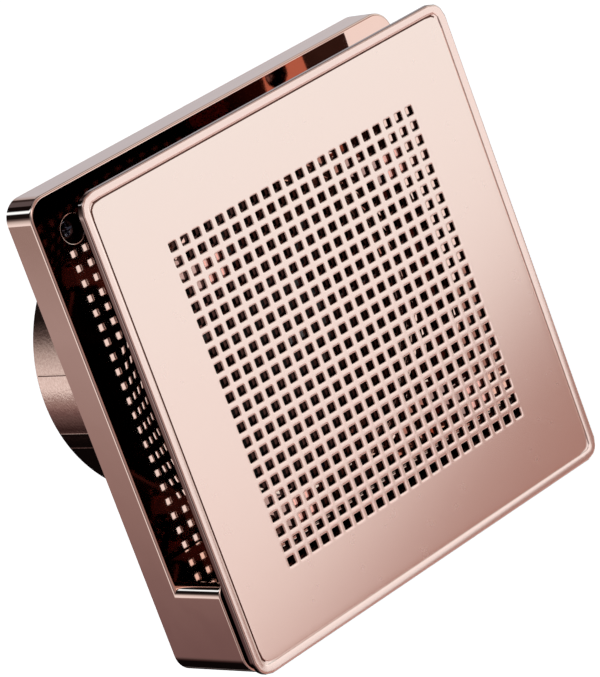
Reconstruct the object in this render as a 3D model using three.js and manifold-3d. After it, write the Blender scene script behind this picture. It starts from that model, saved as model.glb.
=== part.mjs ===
// Square wall-mounted extractor fan for a 100 mm duct, with a perforated floating cover.
// Millimetres. +X is right, +Y goes into the wall, +Z is up.
// The dimensions measure Y from the plane of the wall. The finished pieces are moved in Y so that the
// origin is the centre of the bounding box, on the duct axis.
import * as THREE from "three";
import { mergeGeometries, mergeVertices } from "three/addons/utils/BufferGeometryUtils.js";
import Module from "manifold-3d";

// Front cover
const COVER_WIDTH = 159.6;
const COVER_CORNER = 6;
const COVER_FRONT = -38.8;
const COVER_THICKNESS = 2.4;
const LIP_WIDTH = 2.9;
const LIP_EDGE = 0.8;
const FIELD_RECESS = 0.5;
const HOLES_PER_ROW = 22;
const HOLE_PITCH = 5;
const HOLE_SIZE = 2.8;
const PEG_OFFSET = 40;
const PEG_BASE = 9.6;
const PEG_BASE_HEIGHT = 5;
const PEG_RADIUS = 2.9;

// Casing shell
const CASING_WIDTH = 159.2;
const CASING_CORNER = 7;
const CASING_DEPTH = 12.5;
const CASING_EDGE = 1;
const WALL = 2;
const BOX_TOP = -48.2;
const BOX_DEPTH = 33.8;
const BOX_CORNER = 4;
const BOX_EDGE = 1.5;
const INLET_MOUTH = 70;
const INLET_THROAT = 47.8;
const INLET_END = -5.2;
const CASING_SCREW_X = 66.2;
const CASING_SCREW_Z = 65.7;
const WELL_RADIUS = 4.5;
const WELL_DEPTH = 6;
const SOCKET_RADIUS = 3.3;
const SOCKET_FRONT = -14;

// Duct housing
const SPIGOT_RADIUS = 49.4;
const SPIGOT_WALL = 1.6;
const SPIGOT_END = 61.4;
const FLANGE_THICKNESS = 2.4;
const FLANGE_GAP = 0.4;
const WALL_HOLE_X = 68;
const WALL_HOLE_Z = 42;
const WALL_HOLE_RADIUS = 2.4;
const SPIDER_FRONT = 44;
const SPIDER_THICKNESS = 2.4;
const SPIDER_RADIUS = 22;
const STRUT_COUNT = 3;

// Motor and impeller
const MOTOR_MIDDLE = 24;
const STACK = 12;
const BORE_RADIUS = 11.2;
const ROTOR_RADIUS = 10.6;
const SHAFT_RADIUS = 2;
const MOTOR_SCREW_X = 16;
const BUSH_RADIUS = 4;
const BUSH_LENGTH = 5;
const BUSH_OFFSET = 13.5;
const LIMB_BOTTOM = -34;
const LIMB_TOP = -26;
const BLADES = 7;
const HUB_RADIUS = 19;
const TIP_RADIUS = 44.8;
const BLADE_ROOT_CHORD = 20;
const BLADE_TIP_CHORD = 27;
const BLADE_ROOT_PITCH = 44;
const BLADE_TIP_PITCH = 25;

// Backdraft shutter
const SHUTTER_Y = 56;
const FLAP_RADIUS = 46.8;
const FLAP_THICKNESS = 1.2;
const FLAP_START = 3.6;
const PIN_RADIUS = 1.4;
const KNUCKLE_RADIUS = 2.6;

// Wiring bay
const BLOCK = { x0: -40, x1: -14, z0: -72, z1: -60, depth: 11 };
const TERMINAL_PITCH = 8;
const GROMMET = { x: -64, z: -66, radius: 6 };
const CLAMP = { x: -49, z0: -75, z1: -57 };
const BOARD = { x0: 2, x1: 62, z0: -75, z1: -54, front: -8.4, back: -6.8 };
const LEAD_RADIUS = 0.7;

const GAP = 0.3;
const ROUND = 16;
const CORNER_STEPS = 4;
const DUCT_ROUND = 40;
const SHAFT_ROUND = 24;
const RADIANS = Math.PI / 180;

const wasm = await Module();
wasm.setup();

// ---- Helpers ----

// A closed geometry as a solid, with its faces turned to point out.
function solid(geometry) {
  const loose = geometry.index ? geometry.toNonIndexed() : geometry;
  const bare = new THREE.BufferGeometry();
  bare.setAttribute("position", loose.getAttribute("position"));
  const merged = mergeVertices(bare, 1e-4);
  const index = merged.index.array;
  const corners = [];
  for (let i = 0; i < index.length; i += 3) {
    const [a, b, c] = [index[i], index[i + 1], index[i + 2]];
    if (a !== b && b !== c && c !== a) corners.push(a, b, c);
  }
  const make = (list) =>
    new wasm.Manifold(
      new wasm.Mesh({
        numProp: 3,
        vertProperties: merged.attributes.position.array,
        triVerts: new Uint32Array(list),
      }),
    );
  const made = make(corners);
  return made.volume() < 0 ? make(corners.reverse()) : made;
}

function join(first, ...others) {
  return others.reduce((whole, part) => whole.add(part), first);
}

function cut(first, ...others) {
  return others.reduce((whole, part) => whole.subtract(part), first);
}

// A named mesh from a finished solid, moved from the wall's plane to the origin's.
function piece(name, made, material) {
  const mesh = made.translate([0, -(COVER_FRONT + SPIGOT_END) / 2, 0]).getMesh();
  const geometry = new THREE.BufferGeometry();
  geometry.setAttribute("position", new THREE.BufferAttribute(mesh.vertProperties, 3));
  geometry.setIndex(new THREE.BufferAttribute(mesh.triVerts, 1));
  geometry.computeVertexNormals();
  const result = new THREE.Mesh(geometry, material);
  result.name = name;
  return result;
}

function box(x0, x1, y0, y1, z0, z1) {
  const geometry = new THREE.BoxGeometry(x1 - x0, y1 - y0, z1 - z0);
  geometry.translate((x0 + x1) / 2, (y0 + y1) / 2, (z0 + z1) / 2);
  return solid(geometry);
}

// A cylinder along Y.
function rod(x, z, radius, y0, y1, segments = ROUND) {
  const geometry = new THREE.CylinderGeometry(radius, radius, y1 - y0, segments);
  geometry.translate(x, (y0 + y1) / 2, z);
  return solid(geometry);
}

// A cylinder along Z.
function uprightRod(x, y, radius, z0, z1, segments = ROUND) {
  const geometry = new THREE.CylinderGeometry(radius, radius, z1 - z0, segments);
  geometry.rotateX(Math.PI / 2);
  geometry.translate(x, y, (z0 + z1) / 2);
  return solid(geometry);
}

// A solid of revolution about the Y axis, or about a parallel axis through (x, z).
function turned(profile, segments = ROUND, x = 0, z = 0) {
  const points = profile.map(([radius, y]) => new THREE.Vector2(radius, y));
  if (profile[0][0] > 0) points.push(points[0].clone());
  const geometry = new THREE.LatheGeometry(points, segments);
  geometry.translate(x, 0, z);
  return solid(geometry);
}

// A rectangle in the X-Z plane with its own radius at the top and at the bottom corners.
function panel(x0, x1, z0, z1, top, bottom = top, steps = CORNER_STEPS) {
  const corners = [
    [x1 - top, z1 - top, top],
    [x0 + top, z1 - top, top],
    [x0 + bottom, z0 + bottom, bottom],
    [x1 - bottom, z0 + bottom, bottom],
  ];
  const points = [];
  for (const [i, [x, z, radius]] of corners.entries()) {
    for (let step = 0; step <= steps; step++) {
      const angle = (i + step / steps) * (Math.PI / 2);
      points.push(new THREE.Vector2(x + radius * Math.cos(angle), z + radius * Math.sin(angle)));
    }
  }
  return new THREE.Shape(points);
}

// A square-cornered opening in a panel.
function openingPath(x0, x1, z0, z1) {
  const corners = [[x0, z0], [x0, z1], [x1, z1], [x1, z0]];
  return new THREE.Path(corners.map(([x, z]) => new THREE.Vector2(x, z)));
}

function squarePanel(width, corner) {
  return panel(-width / 2, width / 2, -width / 2, width / 2, corner);
}

// A shape in the X-Z plane made thick in Y, from its back to its front, with a rounded front edge.
// The extrusion rounds both ends, so it runs past the back and its rounded tail is cut off.
function slab(shape, back, front, edge = 0) {
  const tail = 2 * edge;
  const geometry = new THREE.ExtrudeGeometry(shape, {
    depth: back - front,
    bevelEnabled: edge > 0,
    bevelSize: edge,
    bevelThickness: edge,
    bevelOffset: -edge,
    bevelSegments: 2,
  });
  geometry.rotateX(Math.PI / 2);
  geometry.translate(0, back + tail - edge, 0);
  const whole = solid(geometry);
  if (!edge) return whole;
  const far = 2 * COVER_WIDTH;
  return cut(whole, box(-far, far, back, back + far, -far, far));
}

// A shape in the Y-Z plane made thick in X.
function crosswise(shape, x0, x1) {
  const geometry = new THREE.ExtrudeGeometry(shape, { depth: x1 - x0, bevelEnabled: false });
  const [x, y, z] = [new THREE.Vector3(1, 0, 0), new THREE.Vector3(0, 1, 0), new THREE.Vector3(0, 0, 1)];
  geometry.applyMatrix4(new THREE.Matrix4().makeBasis(y, z, x));
  geometry.translate(x0, 0, 0);
  return solid(geometry);
}

// A round wire along a smooth curve through the given points.
function wire(points, radius) {
  const path = new THREE.CatmullRomCurve3(points.map((p) => new THREE.Vector3(...p)), false, "centripetal");
  const ring = new THREE.Shape();
  ring.absarc(0, 0, radius, 0, 2 * Math.PI);
  const options = { steps: 22, extrudePath: path, bevelEnabled: false, curveSegments: 3 };
  return solid(new THREE.ExtrudeGeometry(ring, options));
}

// A screw along Y: a slotted round head in front of the seat and a shank behind it.
function screw(x, z, seat, headRadius, headHeight, shankRadius, shankLength) {
  const top = seat - headHeight;
  const profile = [
    [0, top],
    [headRadius * 0.7, top],
    [headRadius, top + headHeight * 0.45],
    [headRadius, seat],
    [shankRadius, seat],
    [shankRadius, seat + shankLength - shankRadius],
    [0, seat + shankLength],
  ];
  const slot = headRadius * 0.12;
  const reach = headRadius * 0.6;
  const deep = headHeight * 0.5;
  return cut(
    turned(profile, 14, x, z),
    box(x - reach, x + reach, top - 1, top + deep, z - slot, z + slot),
  );
}

function metal(color, roughness, metalness = 1) {
  return new THREE.MeshStandardMaterial({ color, roughness, metalness });
}

function plastic(color, roughness) {
  return new THREE.MeshStandardMaterial({ color, roughness, metalness: 0 });
}

const ROSE_GOLD_SATIN = metal(0xe6c3b8, 0.35);
const ROSE_GOLD_POLISHED = metal(0xd9a89c, 0.06);
const STEEL = metal(0xb9bcc0, 0.3);
const BLACKENED_STEEL = metal(0x2a2a2c, 0.4);
const LAMINATION = metal(0x83868a, 0.5);
const ZINC = metal(0xa6a8aa, 0.45);
const BRONZE = metal(0x9a6b3c, 0.5);
const COIL_TAPE = plastic(0xa33a22, 0.5);
const DARK_PLASTIC = plastic(0x2b2a2c, 0.45);
const NATURAL_NYLON = plastic(0xe4e0d4, 0.5);
const RUBBER = plastic(0x1d1d1f, 0.8);
const BOARD_GREEN = plastic(0x1f5a3c, 0.5);
const WIRE_BROWN = plastic(0x5a3420, 0.5);
const WIRE_BLUE = plastic(0x2c4f8f, 0.5);
const FILM_YELLOW = plastic(0xc99a2c, 0.4);

const fan = new THREE.Group();
const add = (name, made, material) => fan.add(piece(name, made, material));

// ---- Front cover: a perforated plate inside a raised lip, on four pegs ----

// A square bar through the cover for each opening of the perforated field.
function perforation(back, front) {
  const first = (-(HOLES_PER_ROW - 1) / 2) * HOLE_PITCH;
  const bars = [];
  for (let column = 0; column < HOLES_PER_ROW; column++) {
    for (let row = 0; row < HOLES_PER_ROW; row++) {
      const bar = new THREE.BoxGeometry(HOLE_SIZE, back - front, HOLE_SIZE);
      const [x, z] = [first + column * HOLE_PITCH, first + row * HOLE_PITCH];
      bars.push(bar.translate(x, (back + front) / 2, z));
    }
  }
  return solid(mergeGeometries(bars));
}

function frontCover() {
  const back = COVER_FRONT + COVER_THICKNESS;
  const outer = slab(squarePanel(COVER_WIDTH, COVER_CORNER), back, COVER_FRONT, LIP_EDGE);
  const inside = squarePanel(COVER_WIDTH - 2 * LIP_WIDTH, COVER_CORNER - LIP_WIDTH);
  const recess = slab(inside, COVER_FRONT + FIELD_RECESS, COVER_FRONT - 1);
  add("front_cover", cut(outer, recess, perforation(back + 1, COVER_FRONT - 1)), ROSE_GOLD_SATIN);
}

function coverPegs() {
  const seat = COVER_FRONT + COVER_THICKNESS + GAP;
  const shoulder = seat + PEG_BASE_HEIGHT;
  const half = PEG_BASE / 2;
  for (const [side, x] of [["left", -PEG_OFFSET], ["right", PEG_OFFSET]]) {
    for (const [level, z] of [["top", PEG_OFFSET], ["bottom", -PEG_OFFSET]]) {
      const base = box(x - half, x + half, seat, shoulder, z - half, z + half);
      const post = turned(
        [
          [0, shoulder - 1],
          [PEG_RADIUS, shoulder - 1],
          [PEG_RADIUS, -8.5],
          [PEG_RADIUS - 1, -6],
          [0, -6],
        ],
        20,
        x,
        z,
      );
      const split = box(x - 0.5, x + 0.5, -17, -5, z - half, z + half);
      add(`cover_peg_${level}_${side}`, cut(join(base, post), split), ROSE_GOLD_SATIN);
    }
  }
}

// ---- Casing shell: a square tray with a trumpet inlet and a raised wiring box along its foot ----

// The inlet's curve: flat with the casing's face at the mouth, and parallel to the duct at the throat.
function inletProfile() {
  const face = -CASING_DEPTH;
  const wide = INLET_MOUTH - INLET_THROAT;
  const deep = INLET_END - face;
  const steps = 5;
  const front = [];
  const rear = [];
  for (let i = 0; i <= steps; i++) {
    const angle = (i / steps) * (Math.PI / 2);
    front.push([INLET_MOUTH - wide * Math.sin(angle), INLET_END - deep * Math.cos(angle)]);
    rear.unshift([
      INLET_MOUTH - (wide - WALL) * Math.sin(angle),
      INLET_END - (deep - WALL) * Math.cos(angle),
    ]);
  }
  return [[INLET_MOUTH + 1, face], ...front, ...rear, [INLET_MOUTH + 1, face + WALL]];
}

function casingShell() {
  const half = CASING_WIDTH / 2;
  const inner = half - WALL;
  const boxOutline = panel(-half, half, -half, BOX_TOP, BOX_CORNER, CASING_CORNER);
  const boxHollow = panel(-inner, inner, -inner, BOX_TOP - WALL, BOX_CORNER - WALL, CASING_CORNER - WALL);
  const outside = join(
    slab(squarePanel(CASING_WIDTH, CASING_CORNER), 0, -CASING_DEPTH, CASING_EDGE),
    slab(boxOutline, -CASING_DEPTH + WALL, -BOX_DEPTH, BOX_EDGE),
  );
  const hollow = join(
    slab(squarePanel(2 * inner, CASING_CORNER - WALL), 1, -CASING_DEPTH + WALL),
    slab(boxHollow, 1, -BOX_DEPTH + WALL),
  );
  const aboveBox = box(-half, half, -BOX_DEPTH, 1, BOX_TOP - WALL / 2, half);
  const mouth = rod(0, 0, INLET_MOUTH, -CASING_DEPTH - 1, 0, DUCT_ROUND).intersect(aboveBox);
  const trumpet = turned(inletProfile(), DUCT_ROUND).intersect(aboveBox);
  const sill = box(-54, 54, -CASING_DEPTH, INLET_END, BOX_TOP - WALL, BOX_TOP);
  const throat = rod(0, 0, INLET_THROAT, -CASING_DEPTH - 1, 1, DUCT_ROUND);
  let shell = join(cut(outside, hollow, mouth), trumpet, cut(sill, throat));
  for (const side of [-1, 1]) {
    shell = screwWell(shell, side * CASING_SCREW_X, CASING_SCREW_Z);
    shell = cut(shell, hookSlot(side));
    for (const z of [-PEG_OFFSET, PEG_OFFSET]) shell = pegSocket(shell, side * PEG_OFFSET, z);
  }
  add("casing_shell", shell, ROSE_GOLD_POLISHED);
}

function screwWell(shell, x, z) {
  const face = -CASING_DEPTH;
  const floor = face + WELL_DEPTH;
  const chamfer = 0.5;
  const pocket = turned(
    [
      [0, face - 1],
      [WELL_RADIUS + chamfer, face - 1],
      [WELL_RADIUS + chamfer, face],
      [WELL_RADIUS, face + chamfer],
      [WELL_RADIUS, floor],
      [0, floor],
    ],
    ROUND,
    x,
    z,
  );
  const boss = rod(x, z, WELL_RADIUS + 1.5, face + WALL / 2, floor + 1.6);
  return cut(join(shell, boss), pocket, rod(x, z, 1.9, face, floor + 3));
}

function pegSocket(shell, x, z) {
  const tube = rod(x, z, SOCKET_RADIUS + 1.7, SOCKET_FRONT, -3.4);
  return cut(join(shell, tube), rod(x, z, SOCKET_RADIUS, SOCKET_FRONT - 1, -4.8));
}

function hookSlot(side) {
  const foot = -CASING_WIDTH / 2;
  const x = 40 * side;
  return box(x - 4.4, x + 4.4, -4.6, -1.5, foot - 1, foot + WALL + 0.5);
}

function casingScrews() {
  const seat = -CASING_DEPTH + WELL_DEPTH - GAP;
  add("casing_screw_left", screw(-CASING_SCREW_X, CASING_SCREW_Z, seat, 3.6, 2.4, 1.5, 5.6), STEEL);
  add("casing_screw_right", screw(CASING_SCREW_X, CASING_SCREW_Z, seat, 3.6, 2.4, 1.5, 5.6), STEEL);
}

// ---- Duct housing: mounting flange, duct spigot and the motor's spider ----

function spider() {
  let made = rod(0, 0, SPIDER_RADIUS, SPIDER_FRONT, SPIDER_FRONT + SPIDER_THICKNESS);
  for (let i = 0; i < STRUT_COUNT; i++) {
    const strut = new THREE.BoxGeometry(3, 10, SPIGOT_RADIUS - 0.8 - 18);
    strut.translate(0, SPIDER_FRONT + SPIDER_THICKNESS - 5, (SPIGOT_RADIUS - 0.8 + 18) / 2);
    strut.rotateY((i * 2 * Math.PI) / STRUT_COUNT);
    made = made.add(solid(strut));
  }
  const rearFoot = MOTOR_MIDDLE + STACK / 2 + 2 + 2 * GAP;
  for (const x of [-MOTOR_SCREW_X, MOTOR_SCREW_X]) {
    made = made.add(rod(x, 0, 2.7, rearFoot, SPIDER_FRONT + 1));
    made = made.subtract(rod(x, 0, 1.8, rearFoot - 1, SPIDER_FRONT));
  }
  return cut(made, rod(0, 0, 5, SPIDER_FRONT - 1, SPIDER_FRONT + 5));
}

function flange() {
  const width = CASING_WIDTH - 2 * WALL - 2 * FLANGE_GAP;
  const corner = CASING_CORNER - WALL;
  let made = slab(squarePanel(width, corner), 0, -FLANGE_THICKNESS);
  for (const side of [-1, 1]) {
    for (const z of [-WALL_HOLE_Z, WALL_HOLE_Z]) {
      made = cut(made, rod(side * WALL_HOLE_X, z, WALL_HOLE_RADIUS, -9, 1));
    }
    made = cut(made, rod(side * CASING_SCREW_X, CASING_SCREW_Z, 1.9, -9, 1));
    const hook = box(side * 40 - 4, side * 40 + 4, -4.2, -FLANGE_THICKNESS + 0.5, -width / 2 - 1.8, -73);
    made = join(made, hook);
  }
  const posts = [
    [CLAMP.x, CLAMP.z0 + 3, -5.6],
    [CLAMP.x, CLAMP.z1 - 3, -5.6],
    [BOARD.x0 + 4, (BOARD.z0 + BOARD.z1) / 2, BOARD.back + GAP],
    [BOARD.x1 - 4, (BOARD.z0 + BOARD.z1) / 2, BOARD.back + GAP],
  ];
  for (const [x, z, front] of posts) {
    made = join(made, rod(x, z, 2.6, front, -FLANGE_THICKNESS + 0.5));
    made = cut(made, rod(x, z, 1.5, front - 1, -FLANGE_THICKNESS + 1));
  }
  return cut(made, rod(GROMMET.x, GROMMET.z, GROMMET.radius + GAP, -9, 1));
}

function ductHousing() {
  const inside = SPIGOT_RADIUS - SPIGOT_WALL;
  const stop = SHUTTER_Y - FLAP_THICKNESS / 2 - 0.4;
  const tube = turned(
    [
      [SPIGOT_RADIUS, -FLANGE_THICKNESS],
      [SPIGOT_RADIUS, SPIGOT_END],
      [inside, SPIGOT_END],
      [inside, stop],
      [inside - 2.2, stop],
      [inside - 2.2, stop - 1.2],
      [inside, stop - 2.6],
      [inside, -FLANGE_THICKNESS],
    ],
    DUCT_ROUND,
  );
  const bore = rod(0, 0, inside + SPIGOT_WALL / 2, -9, 1, DUCT_ROUND);
  let made = join(cut(flange(), bore), tube, spider());
  for (const side of [-1, 1]) {
    const [near, far] = [side * 43.6, side * (inside + 0.7)];
    const [low, high] = [Math.min(near, far), Math.max(near, far)];
    made = join(made, uprightRod(0, SHUTTER_Y, 3, low, high));
    const hole = [side * 40, side * (inside - 0.2)].sort((a, b) => a - b);
    made = cut(made, uprightRod(0, SHUTTER_Y, PIN_RADIUS + 0.2, ...hole));
  }
  add("duct_housing", made, ROSE_GOLD_POLISHED);
}

// ---- Backdraft shutter: two half-round flaps on one upright pin ----

function shutter() {
  const reach = SPIGOT_RADIUS - SPIGOT_WALL - 0.6;
  add("shutter_pin", uprightRod(0, SHUTTER_Y, PIN_RADIUS, -reach, reach), STEEL);
  const flaps = [
    ["shutter_flap_right", 1, [[20, 30], [-30, -20]]],
    ["shutter_flap_left", -1, [[6, 16], [-16, -6]]],
  ];
  for (const [name, side, knuckles] of flaps) add(name, shutterFlap(side, knuckles), DARK_PLASTIC);
}

function shutterFlap(side, knuckles) {
  const [front, back] = [SHUTTER_Y - FLAP_THICKNESS / 2, SHUTTER_Y + FLAP_THICKNESS / 2];
  const halfDisc = rod(0, 0, FLAP_RADIUS, front, back, DUCT_ROUND).intersect(
    side > 0
      ? box(FLAP_START, 60, front - 1, back + 1, -60, 60)
      : box(-60, -FLAP_START, front - 1, back + 1, -60, 60),
  );
  const [inner, outer] = side > 0 ? [8, 36] : [-36, -8];
  let made = halfDisc;
  for (const z of [-18, 18]) {
    made = join(made, box(inner, outer, front - 0.8, back - 0.4, z - 0.6, z + 0.6));
  }
  for (const [z0, z1] of knuckles) {
    const [x0, x1] = side > 0 ? [0, FLAP_START + 1] : [-FLAP_START - 1, 0];
    made = join(made, box(x0, x1, front, back, z0, z1));
    made = join(made, uprightRod(0, SHUTTER_Y, KNUCKLE_RADIUS, z0, z1));
    made = cut(made, uprightRod(0, SHUTTER_Y, PIN_RADIUS + 0.25, z0 - 1, z1 + 1));
  }
  return made;
}

// ---- Impeller: seven pitched blades on a cup-shaped hub ----

// One blade section's chord, and its pitch from the plane of rotation, at a share of the blade's span.
function bladeAt(share) {
  const chord = BLADE_ROOT_CHORD + (BLADE_TIP_CHORD - BLADE_ROOT_CHORD) * share;
  const pitch = (BLADE_ROOT_PITCH + (BLADE_TIP_PITCH - BLADE_ROOT_PITCH) * share) * RADIANS;
  return { chord, pitch };
}

function blade() {
  const camber = 0.09;
  const thin = 0.035;
  const steps = 4;
  const section = new THREE.Shape();
  for (let i = 0; i <= steps; i++) {
    const u = i / steps - 0.5;
    section[i ? "lineTo" : "moveTo"](u, camber * (1 - 4 * u * u) - thin);
  }
  for (let i = steps; i >= 0; i--) {
    const u = i / steps - 0.5;
    section.lineTo(u, camber * (1 - 4 * u * u) + thin);
  }
  const root = HUB_RADIUS - 1;
  const span = TIP_RADIUS - root;
  const geometry = new THREE.ExtrudeGeometry(section, { depth: span, steps: 3, bevelEnabled: false });
  const place = geometry.getAttribute("position");
  for (let i = 0; i < place.count; i++) {
    const { chord, pitch } = bladeAt(place.getZ(i) / span);
    const u = place.getX(i) * chord;
    const v = place.getY(i) * chord;
    const radius = root + place.getZ(i);
    const across = u * Math.cos(pitch) - v * Math.sin(pitch);
    const along = u * Math.sin(pitch) + v * Math.cos(pitch);
    place.setXYZ(i, radius * Math.sin(across / radius), along - 0.8, radius * Math.cos(across / radius));
  }
  return geometry;
}

function impeller() {
  const bore = SHAFT_RADIUS + 0.05;
  let made = turned(
    [
      [bore, -8.8],
      [14, -8.8],
      [17.6, -7.8],
      [HUB_RADIUS, -5.4],
      [HUB_RADIUS, 7],
      [HUB_RADIUS - 1.6, 7],
      [HUB_RADIUS - 1.6, -5],
      [14, -7],
      [4.6, -7],
      [4.6, 6.2],
      [bore, 6.2],
    ],
    32,
  );
  for (let i = 0; i < BLADES; i++) {
    made = made.add(solid(blade().rotateY((i * 2 * Math.PI) / BLADES)));
  }
  add("impeller", made, DARK_PLASTIC);
  const nut = rod(0, 0, 4, -11.9, -9.2, 6);
  add("impeller_nut", cut(nut, rod(0, 0, 1.65, -13, -8)), STEEL);
}

// ---- Shaded-pole motor ----

function motorShaft() {
  const rearEnd = MOTOR_MIDDLE + BUSH_OFFSET + BUSH_LENGTH / 2 + 0.6;
  const profile = [
    [0, -12.6],
    [1.2, -12.6],
    [1.5, -12.2],
    [1.5, -8.9],
    [SHAFT_RADIUS, -8.9],
    [SHAFT_RADIUS, rearEnd - 0.4],
    [SHAFT_RADIUS - 0.4, rearEnd],
    [0, rearEnd],
  ];
  add("motor_shaft", turned(profile, SHAFT_ROUND), STEEL);
}

function rotor() {
  const [front, rear] = [MOTOR_MIDDLE - 7, MOTOR_MIDDLE + 7];
  const core = turned(
    [
      [SHAFT_RADIUS + 0.05, front],
      [ROTOR_RADIUS - 0.8, front],
      [ROTOR_RADIUS, front + 0.8],
      [ROTOR_RADIUS, rear - 0.8],
      [ROTOR_RADIUS - 0.8, rear],
      [SHAFT_RADIUS + 0.05, rear],
    ],
    28,
  );
  add("rotor", core, LAMINATION);
}

function statorCore() {
  const outline = panel(-20, 20, LIMB_BOTTOM, 15, 3, 2);
  outline.holes.push(openingPath(-12, 12, LIMB_TOP, -15));
  const [front, rear] = [MOTOR_MIDDLE - STACK / 2, MOTOR_MIDDLE + STACK / 2];
  let made = slab(outline, rear, front);
  made = cut(made, rod(0, 0, BORE_RADIUS, front - 1, rear + 1));
  for (const x of [-MOTOR_SCREW_X, MOTOR_SCREW_X]) {
    made = cut(made, rod(x, 0, 1.8, front - 1, rear + 1));
  }
  add("stator_core", made, LAMINATION);
}

// A rectangular ring in the Y-Z plane around the stator's limb, between two clearances from the limb.
function limbRing(inner, outer, x0, x1) {
  const [y0, y1] = [MOTOR_MIDDLE - STACK / 2, MOTOR_MIDDLE + STACK / 2];
  const outline = panel(y0 - outer, y1 + outer, LIMB_BOTTOM - outer, LIMB_TOP + outer, 1.2, 1.2, 1);
  const hole = panel(y0 - inner, y1 + inner, LIMB_BOTTOM - inner, LIMB_TOP + inner, 0.3, 0.3, 1);
  outline.holes.push(hole);
  return crosswise(outline, x0, x1);
}

function coil() {
  const bobbin = join(
    limbRing(GAP, 1.3, -11.5, 11.5),
    limbRing(GAP, 6.2, -11.6, -10.6),
    limbRing(GAP, 6.2, 10.6, 11.6),
  );
  add("coil_bobbin", bobbin, NATURAL_NYLON);
  add("coil_winding", limbRing(1.6, 5.6, -10.3, 10.3), COIL_TAPE);
}

// A bridge that stands on the stator and holds a bush on the shaft's line. side is -1 in front, 1 behind.
function bearingBracket(side) {
  const foot = STACK / 2 + GAP;
  const outline = [
    [-19.5, foot],
    [-12, foot],
    [-9.5, foot + 5.4],
    [9.5, foot + 5.4],
    [12, foot],
    [19.5, foot],
    [19.5, foot + 2],
    [13.2, foot + 2],
    [10.8, foot + 7.4],
    [-10.8, foot + 7.4],
    [-13.2, foot + 2],
    [-19.5, foot + 2],
  ];
  const shape = new THREE.Shape(outline.map(([x, y]) => new THREE.Vector2(x, MOTOR_MIDDLE + side * y)));
  const strip = new THREE.ExtrudeGeometry(shape, { depth: 12, bevelEnabled: false });
  strip.translate(0, 0, -6);
  const ends = [MOTOR_MIDDLE + side * (BUSH_OFFSET - 2.4), MOTOR_MIDDLE + side * (BUSH_OFFSET + 2.7)];
  const [near, far] = [Math.min(...ends), Math.max(...ends)];
  const boss = rod(0, 0, BUSH_RADIUS + 2.4, near, far);
  let made = cut(join(solid(strip), boss), rod(0, 0, BUSH_RADIUS + GAP, near - 9, far + 9));
  for (const x of [-MOTOR_SCREW_X, MOTOR_SCREW_X]) {
    made = cut(made, rod(x, 0, 1.8, near - 30, far + 30));
  }
  return made;
}

function bush(side) {
  const middle = MOTOR_MIDDLE + side * BUSH_OFFSET;
  const [front, rear] = [middle - BUSH_LENGTH / 2, middle + BUSH_LENGTH / 2];
  const bore = rod(0, 0, SHAFT_RADIUS + 0.08, front - 1, rear + 1, SHAFT_ROUND);
  return cut(rod(0, 0, BUSH_RADIUS, front, rear, SHAFT_ROUND), bore);
}

function motorFrame() {
  add("bearing_bracket_front", bearingBracket(-1), ZINC);
  add("bearing_bracket_rear", bearingBracket(1), ZINC);
  add("bush_front", bush(-1), BRONZE);
  add("bush_rear", bush(1), BRONZE);
  const seat = MOTOR_MIDDLE - STACK / 2 - 2 - 2 * GAP;
  add("motor_screw_left", screw(-MOTOR_SCREW_X, 0, seat, 2.8, 2, 1.5, 25), STEEL);
  add("motor_screw_right", screw(MOTOR_SCREW_X, 0, seat, 2.8, 2, 1.5, 25), STEEL);
}

// ---- Wiring bay: terminal block, cable entry, cable clamp, circuit board and motor leads ----

function terminalBlock() {
  const back = -FLANGE_THICKNESS - GAP;
  const front = back - BLOCK.depth;
  const middle = (BLOCK.z0 + BLOCK.z1) / 2;
  const centre = (BLOCK.x0 + BLOCK.x1) / 2;
  let made = box(BLOCK.x0, BLOCK.x1, front, back, BLOCK.z0, BLOCK.z1);
  for (let i = -1; i <= 1; i++) {
    const x = centre + i * TERMINAL_PITCH;
    made = cut(made, rod(x, middle, 2.8, front - 1, front + 6));
    made = cut(made, uprightRod(x, back - 3.4, 1.6, BLOCK.z0 - 1, BLOCK.z0 + 4));
    made = cut(made, uprightRod(x, back - 3.4, 1.6, BLOCK.z1 - 4, BLOCK.z1 + 1));
    add(`terminal_screw_${i + 2}`, screw(x, middle, front + 4, 2.4, 2.2, 1.4, 1.7), STEEL);
  }
  add("terminal_block", made, NATURAL_NYLON);
}

function cableEntry() {
  const lip = -FLANGE_THICKNESS - GAP;
  const { x, z, radius } = GROMMET;
  const profile = [
    [0, lip - 0.8],
    [radius - 2, lip - 0.8],
    [radius - 1.6, lip - 2.2],
    [radius + 1.6, lip - 2.2],
    [radius + 2, lip - 1.6],
    [radius + 2, lip],
    [radius, lip],
    [radius, -0.4],
    [radius - 2, -0.4],
    [radius - 2, lip],
    [0, lip],
  ];
  add("cable_grommet", turned(profile, ROUND, x, z), RUBBER);
}

function cableClamp() {
  const back = -5.6 - GAP;
  const front = back - 2.6;
  const holes = [CLAMP.z0 + 3, CLAMP.z1 - 3];
  let made = box(CLAMP.x - 3, CLAMP.x + 3, front, back, CLAMP.z0, CLAMP.z1);
  for (const [i, z] of holes.entries()) {
    made = cut(made, rod(CLAMP.x, z, 1.7, front - 1, back + 1));
    add(`clamp_screw_${i + 1}`, screw(CLAMP.x, z, front - GAP, 2.5, 1.8, 1.2, 5.6), STEEL);
  }
  add("cable_clamp", made, NATURAL_NYLON);
}

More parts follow.
